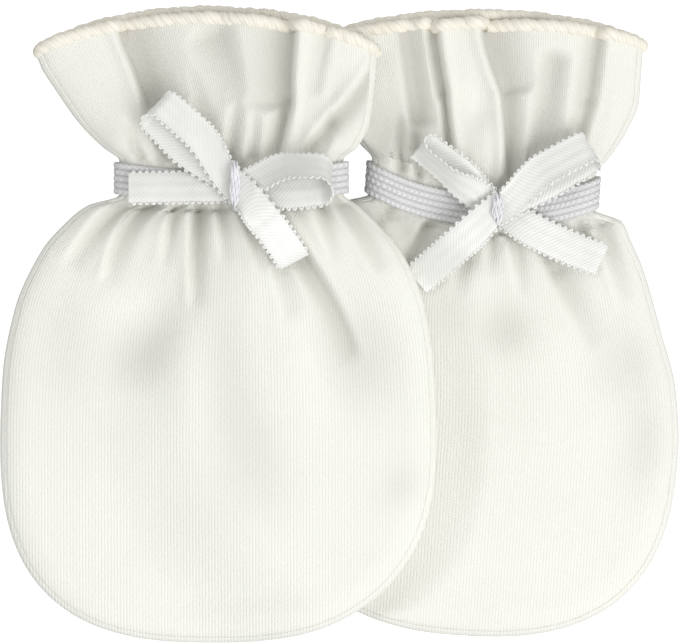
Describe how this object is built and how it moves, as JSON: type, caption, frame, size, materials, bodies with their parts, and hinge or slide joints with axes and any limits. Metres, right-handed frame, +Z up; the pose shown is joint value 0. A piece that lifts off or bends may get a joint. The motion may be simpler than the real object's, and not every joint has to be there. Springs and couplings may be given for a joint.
{
  "type": "pair of baby mittens",
  "caption": "Pair of newborn's gathered cotton mittens laid flat, the left lying over the right, with rolled hems, elastic wrists and satin ribbon bows.",
  "frame": {"origin": "middle of the pair's box, on the surface the pair lies on", "axes": "+X across the pair from the left mitten to the right one, +Y from the finger tips to the cuffs, +Z up from the surface"},
  "size_m": [0.12, 0.1127, 0.0208],
  "materials": {
    "cotton_cloth": "matte",
    "hem_edging": "matte",
    "knitted_elastic": "matte",
    "satin_ribbon": "satin",
    "tack_thread": "satin"
  },
  "bodies": {
    "root": {"left_front_panel": "cotton_cloth", "left_back_panel": "cotton_cloth", "left_hem_roll": "hem_edging", "left_elastic_band": "knitted_elastic", "left_bow_loop_left": "satin_ribbon", "left_bow_loop_right": "satin_ribbon", "left_bow_tail_left": "satin_ribbon", "left_bow_tail_low": "satin_ribbon", "left_bow_tack": "tack_thread", "right_front_panel": "cotton_cloth", "right_back_panel": "cotton_cloth", "right_hem_roll": "hem_edging", "right_elastic_band": "knitted_elastic", "right_bow_loop_left": "satin_ribbon", "right_bow_loop_right": "satin_ribbon", "right_bow_tail_left": "satin_ribbon", "right_bow_tail_low": "satin_ribbon", "right_bow_tack": "tack_thread"}
  },
  "joints": []
}
